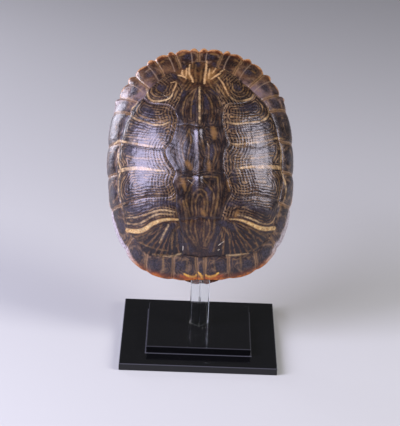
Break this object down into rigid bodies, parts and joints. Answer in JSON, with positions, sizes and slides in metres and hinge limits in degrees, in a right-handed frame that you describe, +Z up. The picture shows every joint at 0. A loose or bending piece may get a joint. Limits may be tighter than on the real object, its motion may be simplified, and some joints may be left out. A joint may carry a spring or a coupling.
{
  "type": "turtle shell on stand",
  "caption": "Whole dry pond turtle shell, hollow and domed, hung tail up on a clear angle post over a stepped square black stand.",
  "frame": {"origin": "centre of the lower plate's underside", "axes": "+Z up, the shell's back faces -Y, +X to the right of someone looking at the back"},
  "size_m": [0.1815, 0.1994, 0.26],
  "materials": {
    "shell_horn": "varnished horn scutes over bone, dark brown with tan growth lines and yellow bands, semi-gloss",
    "clear_acrylic": "clear acrylic with polished faces and bright edges",
    "black_gloss": "polished black acrylic with faint dust and wipe marks"
  },
  "bodies": {
    "root": {"turtle_shell": "shell_horn", "acrylic_post": "clear_acrylic", "upper_plinth": "black_gloss", "lower_plinth": "black_gloss"}
  },
  "joints": []
}
